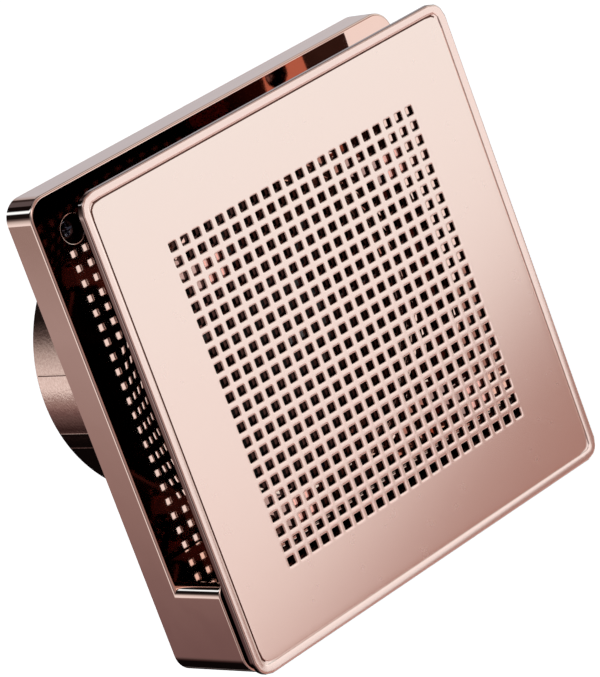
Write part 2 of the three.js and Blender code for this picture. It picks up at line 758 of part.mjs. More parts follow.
function circuitBoard() {
  const middle = (BOARD.z0 + BOARD.z1) / 2;
  const posts = [BOARD.x0 + 4, BOARD.x1 - 4];
  let made = box(BOARD.x0, BOARD.x1, BOARD.front, BOARD.back, BOARD.z0, BOARD.z1);
  for (const [i, x] of posts.entries()) {
    made = cut(made, rod(x, middle, 1.7, BOARD.front - 1, BOARD.back + 1));
    add(`board_screw_${i + 1}`, screw(x, middle, BOARD.front - GAP, 2.5, 1.8, 1.2, 5.2), STEEL);
  }
  add("circuit_board", made, BOARD_GREEN);
  const front = BOARD.front - GAP;
  add("film_capacitor", slab(panel(12, 30, -72, -62, 1.5, 1.5, 1), front, front - 14), FILM_YELLOW);
  add("relay", slab(panel(34, 52, -72, -58, 0.6, 0.6, 1), front, front - 15), BLACKENED_STEEL);
}

// The two motor leads pass behind the inlet's throat and along the duct's inner wall to the coil.
function motorLeads() {
  const crossing = (INLET_END - FLANGE_THICKNESS) / 2;
  const wallLine = -(SPIGOT_RADIUS - SPIGOT_WALL) + LEAD_RADIUS + 0.6;
  const centre = (BLOCK.x0 + BLOCK.x1) / 2;
  const leads = [
    ["motor_lead_live", centre, -2.2, -52.6, WIRE_BROWN],
    ["motor_lead_neutral", centre + TERMINAL_PITCH, 2.2, -55, WIRE_BLUE],
  ];
  for (const [name, start, x, bend, material] of leads) {
    const path = [
      [start, -6.1, BLOCK.z1 + 0.4],
      [start + 1, -5, -57],
      [(start + x) / 2, crossing, bend],
      [x, crossing, -50],
      [x, crossing, wallLine - 1.4],
      [x, crossing + 1.7, wallLine],
      [x, 4, wallLine],
      [x, 16, wallLine],
      [x, 21, wallLine + 1.2],
      [x, MOTOR_MIDDLE, LIMB_BOTTOM - 7.2],
    ];
    add(name, wire(path, LEAD_RADIUS), material);
  }
}

frontCover();
coverPegs();
casingShell();
casingScrews();
ductHousing();
shutter();
impeller();
motorShaft();
rotor();
statorCore();
coil();
motorFrame();
terminalBlock();
cableEntry();
cableClamp();
circuitBoard();
motorLeads();

export default fan;
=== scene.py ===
"""Looks for a square wall extractor fan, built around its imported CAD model."""

import math

import bmesh
import bpy
from mathutils import Matrix, Vector


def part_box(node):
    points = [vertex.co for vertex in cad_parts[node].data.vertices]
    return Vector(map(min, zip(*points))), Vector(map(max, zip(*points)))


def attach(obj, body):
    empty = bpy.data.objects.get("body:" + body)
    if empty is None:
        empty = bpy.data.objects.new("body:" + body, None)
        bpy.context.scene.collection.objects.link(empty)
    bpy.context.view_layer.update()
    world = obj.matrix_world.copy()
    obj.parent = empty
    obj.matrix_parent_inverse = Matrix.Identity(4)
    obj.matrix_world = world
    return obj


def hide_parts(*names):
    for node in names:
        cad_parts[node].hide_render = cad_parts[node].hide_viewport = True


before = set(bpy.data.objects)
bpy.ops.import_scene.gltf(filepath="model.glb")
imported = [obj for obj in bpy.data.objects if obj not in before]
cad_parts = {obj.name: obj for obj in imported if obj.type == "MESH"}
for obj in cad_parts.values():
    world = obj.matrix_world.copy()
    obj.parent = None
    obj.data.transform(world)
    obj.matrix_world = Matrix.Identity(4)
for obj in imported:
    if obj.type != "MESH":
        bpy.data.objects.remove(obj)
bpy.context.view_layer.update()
scene = bpy.context.scene

MM = 0.001
WALL_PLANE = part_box("casing_shell")[1].y


def spans(node):
    """Where a CAD node lies along X, Y and Z in millimetres, with Y from the plane of the wall."""
    low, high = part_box(node)
    return (
        (low.x / MM, high.x / MM),
        ((low.y - WALL_PLANE) / MM, (high.y - WALL_PLANE) / MM),
        (low.z / MM, high.z / MM),
    )


# Sizes in millimetres, with Y measured from the plane of the wall.
COVER_HALF = (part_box("front_cover")[1].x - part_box("front_cover")[0].x) / 2 / MM
COVER_FRONT, COVER_BACK = spans("front_cover")[1]
COVER_CORNER = 6
LIP_DROP = 0.8
LIP_CROWN = 0.9
GROOVE_WIDTH = 0.44
GROOVE_DEPTH = 0.2
GROOVE_CORNER = 3.8
FIELD = COVER_FRONT + 0.5
FIELD_HALF = 76.2
HOLES_PER_ROW = 22
HOLE_PITCH = 5
GRID_HALF = HOLES_PER_ROW * HOLE_PITCH / 2
FIRST_HOLE = -(HOLES_PER_ROW - 1) / 2 * HOLE_PITCH
CELL_MARKS = (1.25, 1.9, HOLE_PITCH / 2)
HOLE_HALF = 1.4
HOLE_CORNER = 0.15
HOLE_CORNER_GROWTH = 1.5
HOLE_BACK_HALF = 1.02
HOLE_BACK_EDGE = 0.1
HOLE_FILLET = 0.78
HOLE_FILLET_DEPTH = 0.4

PAD_CORNER = 0.8
PAD_DEPTH = 5
PEG_OFFSET = 40
PEG_RADIUS = 2.9
PEG_END = -6
PEG_SPLIT = 1.0
PEG_GROOVES = 9
PEG_GROOVE_PITCH = 1.05
PEG_GROOVE_WIDTH = 0.4
PEG_GROOVE_DEPTH = 0.7

CASING_HALF = (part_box("casing_shell")[1].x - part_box("casing_shell")[0].x) / 2 / MM
CASING_CORNER = 7
CASING_INNER_CORNER = 5
FACE = -12.5
WALL = 2
BOX_TOP = -48.2
BOX_FRONT = spans("casing_shell")[1][0]
INLET_MOUTH = 70
INLET_THROAT = 47.8
INLET_END = -5.2
SILL_HALF = 54
CASING_SCREW = (66.2, 65.7)
SCREW_WAY = 1.9
WELL_RADIUS = 4.5
WELL_FLOOR = -6.5
SOCKET_RADIUS = 3.3
SOCKET_WALL = 1.7
SOCKET_ENDS = (-14, -3.4)
HOOK_OFFSET = 40
HOOK_HALF = 4
HOOK_FRONT = -4.2
HOOK_REACH = 1.8
HOOK_ROOT = -73
SLOT_GAP = 0.4
BEYOND = 90

SPIGOT_RADIUS = 49.4
SPIGOT_WALL = 1.6
SPIGOT_END = spans("duct_housing")[1][1]
SPIGOT_SEAMS = (168.5, 192.5, 199.5)
SEAM_HEIGHT = 0.07
FLANGE = 2.4
THROUGH_FLANGE = (-9, 1)
WALL_HOLE = (68, 42)
WALL_HOLE_RADIUS = 2.4
GROMMET_HOLE = 6.3
POST_RADIUS = 2.6
POST_HOLE = 1.5
CLAMP_POST_FRONT = -5.6
SPIDER_RADIUS = 22
SPIDER_FRONT, SPIDER_BACK = 44, 46.4
STRUT_FRONT = 36.4
STRUT_HALF = 1.5
STRUTS = 3
MOTOR_SCREW_OFFSET = 16
FOOT_RADIUS = 2.7
FOOT_HOLE = 1.8
FOOT_FRONT = 32.6

SHUTTER_Y = 56
EAR_INNER = 43.6
EAR_RADIUS = 3
EAR_BORE = 1.6
FLAP_RADIUS = 46.8
FLAP_HALF = 0.6
FLAP_GAP = 3.6
KNUCKLE_RADIUS = 2.6
KNUCKLE_BORE = 1.65
KNUCKLES = {1: ((20, 30), (-30, -20)), -1: ((6, 16), (-16, -6))}
RIB_Z = 18

BLADES = 7
BLADE_ROOT, BLADE_TIP = 18, 44.8
ROOT_CHORD, TIP_CHORD = 20, 27
ROOT_PITCH, TIP_PITCH = 44, 25
BLADE_CAMBER = 0.09
BLADE_THICKNESS = 0.035
HUB_RADIUS = 19
HUB_NOSE_RADIUS = 12
HUB_FRONT = -8.8
HUB_NOSE = 3.4
SHAFT_HOLE = 2.05

# The photo's point of view, in metres from the wall's plane and in degrees.
CAMERA_PLACE = (-0.75551, -0.98929, 0.31762)
CAMERA_PAN = -37.7265
CAMERA_TILT = -14.4793
CAMERA_ROLL = -20.3722
CAMERA_LENS = 215.46


# ---- Mesh helpers ----

def make(name, points, faces):
    """A closed mesh object from points in millimetres, with Y from the wall's plane."""
    mesh = bpy.data.meshes.new(name)
    mesh.from_pydata([(x * MM, WALL_PLANE + y * MM, z * MM) for x, y, z in points], [], faces)
    edit = bmesh.new()
    edit.from_mesh(mesh)
    bmesh.ops.remove_doubles(edit, verts=edit.verts, dist=1e-7)
    bmesh.ops.recalc_face_normals(edit, faces=edit.faces)
    edit.to_mesh(mesh)
    edit.free()
    obj = bpy.data.objects.new(name, mesh)
    scene.collection.objects.link(obj)
    return obj


def quarter(steps):
    """Angles from 0 to 90 degrees in equal steps."""
    return [i / steps * math.pi / 2 for i in range(steps + 1)]


def turned(x, y, z, turns):
    """A point after some quarter turns about Y, from X towards Z."""
    x, z = [(x, z), (-z, x), (-x, -z), (z, -x)][turns]
    return x, y, z


def between(a, b, count):
    """The quads between two rings of count points, which start at the indices a and b."""
    return [(a + i, a + (i + 1) % count, b + (i + 1) % count, b + i) for i in range(count)]


def loft(name, rings, closed=False):
    """Skin a list of rings with equal point counts. An open stack gets flat ends."""
    count = len(rings[0])
    points = [p for ring in rings for p in ring]
    faces = []
    for r in range(len(rings) if closed else len(rings) - 1):
        faces += between(r * count, (r + 1) % len(rings) * count, count)
    if not closed:
        faces += [tuple(range(count)), tuple(range(len(points) - count, len(points)))]
    return make(name, points, faces)


def revolve(name, profile, segments=96, x=0, z=0):
    """Turn a profile that closes on itself about Y, or about a parallel axis through (x, z)."""
    rings = []
    for i in range(segments):
        angle = 2 * math.pi * i / segments
        c, s = math.cos(angle), math.sin(angle)
        rings.append([(x + r * c, y, z + r * s) for r, y in profile])
    return loft(name, rings, closed=True)


def rod(name, x, z, radius, y0, y1, segments=48):
    """A solid cylinder along Y."""
    return revolve(name, [(0, y0), (radius, y0), (radius, y1), (0, y1)], segments, x, z)


def upright(name, x, y, radius, z0, z1, segments=32):
    """A solid cylinder along Z."""
    turn = [2 * math.pi * i / segments for i in range(segments)]
    rings = [[(x + radius * math.cos(a), y + radius * math.sin(a), z) for a in turn] for z in (z0, z1)]
    return loft(name, rings)


def block(name, x0, x1, y0, y1, z0, z1):
    """A box with sharp edges."""
    ring = [(x0, z0), (x1, z0), (x1, z1), (x0, z1)]
    return loft(name, [[(x, y, z) for x, z in ring] for y in (y0, y1)])


def panel_ring(x0, x1, z0, z1, top, bottom, y, inset=0, steps=10):
    """A rounded rectangle in the plane Y = y, moved in by an inset that shrinks its corners too."""
    x0, x1, z0, z1 = x0 + inset, x1 - inset, z0 + inset, z1 - inset
    top, bottom = max(top - inset, 0.02), max(bottom - inset, 0.02)
    corners = [
        (x1 - top, z1 - top, top), (x0 + top, z1 - top, top),
        (x0 + bottom, z0 + bottom, bottom), (x1 - bottom, z0 + bottom, bottom),
    ]
    ring = []
    for i, (x, z, radius) in enumerate(corners):
        for step in range(steps + 1):
            angle = (i + step / steps) * math.pi / 2
            ring.append((x + radius * math.cos(angle), y, z + radius * math.sin(angle)))
    return ring


def slab(name, bounds, front, back, edge=0, steps=6):
    """A rounded panel from front to back. An edge above 0 rounds its front edge by that radius."""
    angles = quarter(steps) if edge else [0]
    rings = [
        panel_ring(*bounds, front + edge * (1 - math.cos(a)), edge * (1 - math.sin(a))) for a in angles
    ]
    rings.append(panel_ring(*bounds, back))
    return loft(name, rings)


def square_slab(name, half, corner, front, back, edge=0, steps=6):
    """A rounded square panel about the Y axis."""
    return slab(name, (-half, half, -half, half, corner, corner), front, back, edge, steps)


def apply_modifiers(obj):
    evaluated = obj.evaluated_get(bpy.context.evaluated_depsgraph_get())
    mesh = bpy.data.meshes.new_from_object(evaluated)
    obj.modifiers.clear()
    old, obj.data = obj.data, mesh
    bpy.data.meshes.remove(old)
    return obj


def combine(target, operation, tools):
    """Apply one boolean operation with each tool in turn, and delete the tools."""
    for tool in tools:
        step = target.modifiers.new("step", "BOOLEAN")
        step.operation = operation
        step.solver = "MANIFOLD"
        step.object = tool
        apply_modifiers(target)
        mesh = tool.data
        bpy.data.objects.remove(tool)
        bpy.data.meshes.remove(mesh)
    return target


def cut(target, *tools):
    return combine(target, "DIFFERENCE", tools)


def join(target, *tools):
    return combine(target, "UNION", tools)


def keep(target, tool):
    return combine(target, "INTERSECT", [tool])


def sided(side, near, far):
    """A span from near to far on one side of the middle, low end first."""
    return sorted((side * near, side * far))


def bevel_edges(obj, width, segments, angle):
    """Round the edges sharper than an angle in degrees by a width in millimetres."""
    bevel = obj.modifiers.new("bevel", "BEVEL")
    bevel.width = width * MM
    bevel.segments = segments
    bevel.limit_method = "ANGLE"
    bevel.angle_limit = math.radians(angle)


def finish(obj, body, material, nodes, sharp=32):
    """Shade a finished piece, and put it on its body in place of its CAD nodes."""
    obj.data.shade_smooth()
    obj.data.set_sharp_from_angle(angle=math.radians(sharp))
    normals = obj.modifiers.new("normals", "WEIGHTED_NORMAL")
    normals.keep_sharp = True
    obj.data.materials.clear()
    obj.data.materials.append(material)
    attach(obj, body)
    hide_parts(*nodes)
    return obj


# ---- Materials ----

class Graph:
    """A short way to build a node tree."""

    def __init__(self, tree):
        self.tree = tree

    def add(self, kind, **values):
        """A new node, whose values go to its inputs by name or else to its own settings."""
        node = self.tree.nodes.new(kind)
        for key, value in values.items():
            if key in node.inputs:
                node.inputs[key].default_value = value
            else:
                setattr(node, key, value)
        return node

    def link(self, source, target):
        self.tree.links.new(source, target)

    def axes(self, vector):
        """The outputs X, Y and Z of a vector."""
        split = self.add("ShaderNodeSeparateXYZ")
        self.link(vector, split.inputs["Vector"])
        return split.outputs

    def maths(self, operation, a, b):
        node = self.add("ShaderNodeMath", operation=operation)
        for socket, value in zip(node.inputs, (a, b)):
            if isinstance(value, (int, float)):
                socket.default_value = value
            else:
                self.link(value, socket)
        return node.outputs[0]

    def ramp(self, source, stops):
        node = self.add("ShaderNodeValToRGB")
        elements = node.color_ramp.elements
        for i, (position, colour) in enumerate(stops):
            element = elements[i] if i < 2 else elements.new(position)
            element.position = position
            element.color = (*colour, 1)
        self.link(source, node.inputs["Fac"])
        return node.outputs["Color"]

    def span(self, source, low, high, start=0.3, end=0.7):
        """Map a source that runs from start to end onto low to high."""
        node = self.add("ShaderNodeMapRange")
        for name, value in (("From Min", start), ("From Max", end), ("To Min", low), ("To Max", high)):
            node.inputs[name].default_value = value
        self.link(source, node.inputs["Value"])
        return node.outputs["Result"]


class Finish(Graph):
    """A procedural material around one Principled shader."""

    def __init__(self, name, **values):
        self.material = bpy.data.materials.new(name)
        self.material.use_nodes = True
        super().__init__(self.material.node_tree)
        self.shader = self.tree.nodes["Principled BSDF"]
        self.place = self.tree.nodes.new("ShaderNodeTexCoord").outputs["Object"]
        for key, value in values.items():
            self.shader.inputs[key.replace("_", " ")].default_value = value

    def noise(self, scale, detail=4, roughness=0.55, stretch=(1, 1, 1)):
        mapping = self.add("ShaderNodeMapping", Scale=stretch)
        self.link(self.place, mapping.inputs["Vector"])
        node = self.add("ShaderNodeTexNoise", Scale=scale, Detail=detail, Roughness=roughness)
        self.link(mapping.outputs["Vector"], node.inputs["Vector"])
        return node.outputs["Fac"]

    def drive(self, name, source):
        """Let a node output drive one of the shader's inputs."""
        self.link(source, self.shader.inputs[name])

    def bump(self, height, strength, distance):
        """Add a bump on top of what already drives the normal."""
        node = self.add("ShaderNodeBump", Strength=strength, Distance=distance)
        self.link(height, node.inputs["Height"])
        before = self.shader.inputs["Normal"].links
        if before:
            self.link(before[0].from_socket, node.inputs["Normal"])
        self.drive("Normal", node.outputs["Normal"])


def plated(name, base, deep, roughness, waves, grain=0.0, uneven=0.15):
    """Metal plating on moulded plastic: slow waves, a slightly uneven sheen and often a fine grain."""
    nodes = Finish(name, Metallic=1.0)
    nodes.drive("Base Color", nodes.ramp(nodes.noise(22, 5, 0.6), [(0.3, deep), (0.7, base)]))
    sheen = nodes.span(nodes.noise(160, 6), roughness * (1 - uneven), roughness * (1 + uneven))
    nodes.drive("Roughness", sheen)
    nodes.bump(nodes.noise(55, 2, 0.4), waves, 0.002)
    if grain:
        nodes.bump(nodes.noise(2600, 3, 0.5), grain, 0.0002)
    return nodes.material


def moulded(name, base, light, roughness, scale=1500, strength=0.15, **values):
    """Moulded plastic or rubber with a fine eroded texture."""
    nodes = Finish(name, **values)
    nodes.drive("Base Color", nodes.ramp(nodes.noise(60, 6), [(0.3, base), (0.75, light)]))
    nodes.drive("Roughness", nodes.span(nodes.noise(220, 5), roughness * 0.85, roughness * 1.15))
    nodes.bump(nodes.noise(scale, 4, 0.6), strength, 0.0003)
    return nodes.material


def machined(name, base, deep, roughness, stretch=(1, 1, 1), scale=700):
    """Bare metal with fine tool marks, which a stretch draws out along one direction."""
    nodes = Finish(name, Metallic=1.0)
    nodes.drive("Base Color", nodes.ramp(nodes.noise(90, 6), [(0.3, deep), (0.7, base)]))
    marks = nodes.noise(scale, 3, 0.6, stretch)
    nodes.drive("Roughness", nodes.span(marks, roughness * 0.7, roughness * 1.3))
    nodes.bump(marks, 0.2, 0.0002)
    return nodes.material


def underside():
    """The plating on the cover's back, dark as painted shade for the hollow behind the cover, with a painted
    highlight that makes it bright towards its upper right corner.
    """
    nodes = Finish("underside_painted_shade_and_light", Metallic=1.0)
    place = nodes.axes(nodes.place)
    # Painted shade and highlight: near-black plating that turns bright only towards the upper right corner.
    rightwards = nodes.span(place["X"], 0, 1, 0.022, 0.034)
    upwards = nodes.span(place["Z"], 0, 1, 0.03, 0.042)
    corner = nodes.maths("MULTIPLY", rightwards, upwards)
    nodes.drive("Base Color", nodes.ramp(corner, [(0, (0.035, 0.009, 0.008)), (1, (0.56, 0.24, 0.17))]))
    nodes.drive("Roughness", nodes.span(nodes.noise(160, 6), 0.04, 0.06))
    nodes.bump(nodes.noise(55, 2, 0.4), 0.03, 0.002)
    return nodes.material


def satin_plating():
    """The cover's satin face, with painted shade that makes it a little pinker and darker towards its lower
    edge, and a faint cloudiness.
    """
    nodes = Finish("satin_rose_gold", Metallic=1.0)
    # Painted shade: the colour runs pinker and darker towards the bottom of the cover.
    upwards = nodes.span(nodes.axes(nodes.place)["Z"], 0, 0.94, -0.08, 0.08)
    lower_shade_and_cloud = nodes.maths("ADD", upwards, nodes.span(nodes.noise(22, 5, 0.6), 0, 0.06))
    nodes.drive("Base Color", nodes.ramp(lower_shade_and_cloud, [(0, (0.93, 0.70, 0.62)), (1, (0.925, 0.79, 0.715))]))
    nodes.drive("Roughness", nodes.span(nodes.noise(160, 6), 0.265, 0.275))
    return nodes.material


def spigot_plating():
    """Duller plating with a speckled grain, whose reflections turn a little towards the top."""
    nodes = Finish("spigot_rose_gold", Metallic=1.0)
    turn = nodes.add("ShaderNodeVectorRotate", rotation_type="Y_AXIS")
    nodes.link(nodes.add("ShaderNodeNewGeometry").outputs["Normal"], turn.inputs["Vector"])
    nodes.link(nodes.span(nodes.axes(nodes.place)["Z"], 0, -0.20, 0, 0.0315), turn.inputs["Angle"])
    nodes.drive("Normal", turn.outputs["Vector"])
    cloud = nodes.noise(1100, 3, 0.6)
    nodes.drive("Base Color", nodes.ramp(cloud, [(0.35, (0.72, 0.49, 0.41)), (0.65, (0.84, 0.60, 0.51))]))
    nodes.drive("Roughness", nodes.span(nodes.noise(700, 4), 0.07, 0.16))
    nodes.bump(cloud, 0.16, 0.0002)
    return nodes.material


# Painted light: the pegs glow faintly, though they are no lamp, standing in for light that reaches them
# through the holes, so that their pads read through the holes of the cover.
PEG_GLOW = {"Emission_Color": (0.95, 0.60, 0.53, 1), "Emission_Strength": 0.34}

SATIN = satin_plating()
POLISHED = plated("polished_rose_gold", (0.89, 0.65, 0.56), (0.875, 0.63, 0.54), 0.035, 0.02)
LIP = plated("lip_rose_gold", (0.92, 0.74, 0.67), (0.91, 0.73, 0.66), 0.22, 0.002, 0.004, 0.05)
# Painted shade: a dark copy of the plating for the steep outer edge of the cover's lip.
RIM_PAINTED_SHADE = plated("rim_painted_shade", (0.40, 0.27, 0.24), (0.37, 0.25, 0.22), 0.06, 0.01)
UNDERSIDE_PAINTED_SHADE_AND_LIGHT = underside()
# Painted shade: a dark copy of the plating for the walls of the cover's holes and the insides of the casing's
# screw wells.
RECESS_PAINTED_SHADE = plated("recess_painted_shade", (0.10, 0.045, 0.036), (0.05, 0.02, 0.016), 0.22, 0.02, 0.05)
# Painted shade: a near-black copy of the plating for the back of the cover's grille.
GRILLE_BACK_PAINTED_SHADE = plated("grille_back_painted_shade", (0.07, 0.02, 0.016), (0.03, 0.009, 0.007), 0.12, 0.1, 0.05)
# Painted shade: a dark copy of the plating for the lip's groove on its left and top sides only.
GROOVE_PAINTED_SHADE = plated("groove_painted_shade", (0.14, 0.06, 0.045), (0.10, 0.045, 0.035), 0.3, 0.01, 0.02)
SPIGOT_FINISH = spigot_plating()
PEG = moulded("peg_rose_plastic", (0.86, 0.56, 0.49), (0.92, 0.66, 0.58), 0.35, 1200, 0.05, **PEG_GLOW)
STEEL = machined("screw_steel", (0.62, 0.63, 0.65), (0.5, 0.5, 0.52), 0.28)
BLACKENED = machined("blackened_steel", (0.42, 0.43, 0.50), (0.25, 0.26, 0.31), 0.1)
LAMINATION = machined("lamination_steel", (0.36, 0.37, 0.39), (0.24, 0.25, 0.27), 0.4, (0.05, 1, 0.05), 1500)
ZINC = machined("zinc_plated_steel", (0.58, 0.59, 0.61), (0.46, 0.47, 0.5), 0.38)
BRONZE = machined("sintered_bronze", (0.48, 0.3, 0.14), (0.36, 0.2, 0.09), 0.45)
DARK = moulded("dark_plastic", (0.010, 0.009, 0.009), (0.018, 0.016, 0.016), 0.42)
NYLON = moulded("natural_nylon", (0.74, 0.71, 0.62), (0.82, 0.79, 0.71), 0.45, 900, 0.08)
RUBBER = moulded("black_rubber", (0.013, 0.013, 0.014), (0.03, 0.03, 0.03), 0.7, 700, 0.3)
TAPE = moulded("taped_copper", (0.30, 0.06, 0.03), (0.42, 0.11, 0.05), 0.4, 500, 0.3)
BOARD = moulded("board_green", (0.015, 0.10, 0.05), (0.03, 0.17, 0.08), 0.35, 800, 0.05)
YELLOW = moulded("capacitor_yellow", (0.62, 0.38, 0.05), (0.74, 0.5, 0.1), 0.3, 500, 0.05)
BLACK = moulded("relay_black", (0.02, 0.02, 0.022), (0.035, 0.035, 0.04), 0.4)
BROWN = moulded("lead_brown", (0.10, 0.045, 0.02), (0.15, 0.07, 0.035), 0.4, 900, 0.05)
BLUE = moulded("lead_blue", (0.03, 0.08, 0.30), (0.05, 0.13, 0.42), 0.4, 900, 0.05)


# ---- Front cover ----

def rounded_square(half, corner, y, samples):
    """The samples, each a side and a place along it from -1 to 1, laid on a rounded square."""
    ring = []
    for side, t in samples:
        sign = 1 if t >= 0 else -1
        reach = abs(t) * half
        straight = half - corner
        if reach <= straight:
            out, along = half, reach
        else:
            angle = (reach - straight) / corner * math.pi / 4
            out = straight + corner * math.cos(angle)
            along = straight + corner * math.sin(angle)
        ring.append(turned(out, y, sign * along, side))
    return ring


def hole_ring(half, corner, y):
    """A square with rounded corners, five points to a corner."""
    ring = []
    for turns in range(4):
        for angle in quarter(4):
            a = half - corner + corner * math.cos(angle)
            b = half - corner + corner * math.sin(angle)
            ring.append(turned(a, y, b, turns))
    return ring


def cell_edge(y):
    """The edge of the square cell round one hole, with as many points as the hole's own rings."""
    inner, outer, half = CELL_MARKS
    corner = [(half, inner), (half, outer), (half, half), (outer, half), (inner, half)]
    return [turned(a, y, b, turns) for turns in range(4) for a, b in corner]


def hole_rings():
    """One cell with its hole, from the face over the pillowed edge and through to the back."""
    rings = [cell_edge(FIELD)]
    for angle in quarter(4):
        out = HOLE_FILLET * (1 - math.sin(angle))
        depth = HOLE_FILLET_DEPTH * (1 - math.cos(angle))
        rings.append(hole_ring(HOLE_HALF + out, HOLE_CORNER + HOLE_CORNER_GROWTH * out, FIELD + depth))
    rings.append(hole_ring(HOLE_BACK_HALF, HOLE_CORNER, COVER_BACK - HOLE_BACK_EDGE))
    rings.append(hole_ring(HOLE_BACK_HALF + HOLE_BACK_EDGE, HOLE_CORNER + HOLE_BACK_EDGE, COVER_BACK))
    rings.append(cell_edge(COVER_BACK))
    return rings


def edge_samples():
    """Places round the grid's edge that meet the points of its outermost cells."""
    marks = [sign * mark for sign in (-1, 1) for mark in CELL_MARKS]
    centres = [FIRST_HOLE + cell * HOLE_PITCH for cell in range(HOLES_PER_ROW)]
    along = sorted({round((centre + mark) / GRID_HALF, 6) for centre in centres for mark in marks})
    return [(side, t) for side in range(4) for t in along[:-1]]


def cover_profile():
    """The half width, depth and corner radius of each ring, from the grid out over the lip and back in."""
    profile = [
        (GRID_HALF, FIELD, 0.001), (GRID_HALF + 4, FIELD, 0.6), (FIELD_HALF - 2, FIELD, 3.2),
        (FIELD_HALF - 0.25, FIELD, GROOVE_CORNER - 0.1), (FIELD_HALF - 0.08, FIELD + 0.04, GROOVE_CORNER),
        (FIELD_HALF, FIELD + GROOVE_DEPTH, GROOVE_CORNER + 0.1),
        (FIELD_HALF + GROOVE_WIDTH - 0.04, FIELD + GROOVE_DEPTH, GROOVE_CORNER + 0.15),
    ]
    crown, foot = COVER_HALF - LIP_CROWN, FIELD + 0.05
    steps = 8
    for step in range(-steps, steps + 1):
        angle = step / steps * math.pi / 2
        wide = crown - FIELD_HALF - GROOVE_WIDTH if step < 0 else LIP_CROWN
        tall = foot - COVER_FRONT if step < 0 else LIP_DROP
        half = crown + wide * math.sin(angle)
        profile.append((half, COVER_FRONT + tall * (1 - math.cos(angle)), COVER_CORNER - COVER_HALF + half))
    return profile + [
        (COVER_HALF, COVER_BACK - 0.3, COVER_CORNER), (COVER_HALF - 0.3, COVER_BACK, COVER_CORNER - 0.3),
        (COVER_HALF - 3, COVER_BACK, 4), (GRID_HALF, COVER_BACK, 0.001),
    ]


def cover_look(face):
    """The material for one face of the cover, by where it lies and which way it faces."""
    x, z = abs(face.center.x) / MM, abs(face.center.z) / MM
    depth = (face.center.y - WALL_PLANE) / MM
    turn = FIELD_HALF - GROOVE_CORNER
    reach = max(x, z)
    if reach > turn:
        reach = turn + math.hypot(max(x - turn, 0), max(z - turn, 0))
    # Painted shade on the back faces: the grille's back and the rest of the underside.
    if face.normal.y > 0.9:
        return GRILLE_BACK_PAINTED_SHADE if reach < GRID_HALF else UNDERSIDE_PAINTED_SHADE_AND_LIGHT
    if reach > FIELD_HALF - 0.05:
        # Painted shade: the groove is dark on the left and top sides only, split along the diagonal.
        painted_shade_side = face.center.x < face.center.z
        if reach < FIELD_HALF + GROOVE_WIDTH and depth > FIELD + 0.05 and painted_shade_side:
            return GROOVE_PAINTED_SHADE
        # Painted shade on the steep outer edge of the lip.
        steep = abs(face.normal.y) < 0.75
        return RIM_PAINTED_SHADE if steep and reach > COVER_HALF - LIP_CROWN else LIP
    # Painted shade on the steep walls inside the holes.
    if abs(face.normal.y) < 0.5 and depth > FIELD + HOLE_FILLET_DEPTH + 0.05:
        return RECESS_PAINTED_SHADE
    return SATIN


def front_cover():
    rings = hole_rings()
    count = len(rings[0])
    cell = [p for ring in rings for p in ring]
    points, faces = [], []
    for column in range(HOLES_PER_ROW):
        for row in range(HOLES_PER_ROW):
            start = len(points)
            dx, dz = FIRST_HOLE + column * HOLE_PITCH, FIRST_HOLE + row * HOLE_PITCH
            points += [(x + dx, y, z + dz) for x, y, z in cell]
            for r in range(len(rings) - 1):
                faces += between(start + r * count, start + (r + 1) * count, count)
    samples = edge_samples()
    outer = [rounded_square(half, corner, y, samples) for half, y, corner in cover_profile()]
    start, count = len(points), len(samples)
    points += [p for ring in outer for p in ring]
    for r in range(len(outer) - 1):
        faces += between(start + r * count, start + (r + 1) * count, count)
    cover = make("cover_plate", points, faces)
    finish(cover, "cover", SATIN, ["front_cover"], 40)
    looks = [SATIN, UNDERSIDE_PAINTED_SHADE_AND_LIGHT, LIP, RECESS_PAINTED_SHADE, GRILLE_BACK_PAINTED_SHADE, GROOVE_PAINTED_SHADE, RIM_PAINTED_SHADE]
    for extra in looks[1:]:
        cover.data.materials.append(extra)
    for face in cover.data.polygons:
        face.material_index = looks.index(cover_look(face))


def cover_peg(node):
    """One ribbed pad with its split post."""
    (x0, x1), (front, back), (z0, z1) = spans(node)
    x, z = (x0 + x1) / 2, (z0 + z1) / 2
    peg = slab(node + "_fine", (x0, x1, z0, z1, PAD_CORNER, PAD_CORNER), front, front + PAD_DEPTH, 0.3)
    half = PEG_GROOVE_WIDTH / 2
    for i in range(PEG_GROOVES):
        middle = x + (i - PEG_GROOVES // 2) * PEG_GROOVE_PITCH
        ends = (middle - half, middle + half)
        peg = cut(peg, block("groove", *ends, front - 1, front + PEG_GROOVE_DEPTH, z - 9, z + 9))
    root = front + PAD_DEPTH - 1
    post = revolve("post", [
        (0, root), (PEG_RADIUS, root), (PEG_RADIUS, PEG_END - 2.5), (PEG_RADIUS - 0.3, PEG_END - 1.4),
        (PEG_RADIUS - 1, PEG_END), (0, PEG_END),
    ], 48, x, z)
    half = PEG_SPLIT / 2
    split = block("split", x - half, x + half, PEG_END - 11, PEG_END + 1, z - 6, z + 6)
    peg = cut(join(peg, post), split)
    finish(peg, "cover", PEG, [node])


# ---- Casing shell ----

def inlet_curve(offset=0):
    """The quarter ellipse of the inlet trumpet, from its mouth to its throat."""
    wide = INLET_MOUTH - INLET_THROAT - offset
    deep = INLET_END - FACE - offset
    return [(INLET_MOUTH - wide * math.sin(a), INLET_END - deep * math.cos(a)) for a in quarter(24)]


def above_box(floor):
    """The space above a height, to keep the round inlet out of the wiring box."""
    return block("above", -BEYOND, BEYOND, -60, 10, floor, BEYOND)


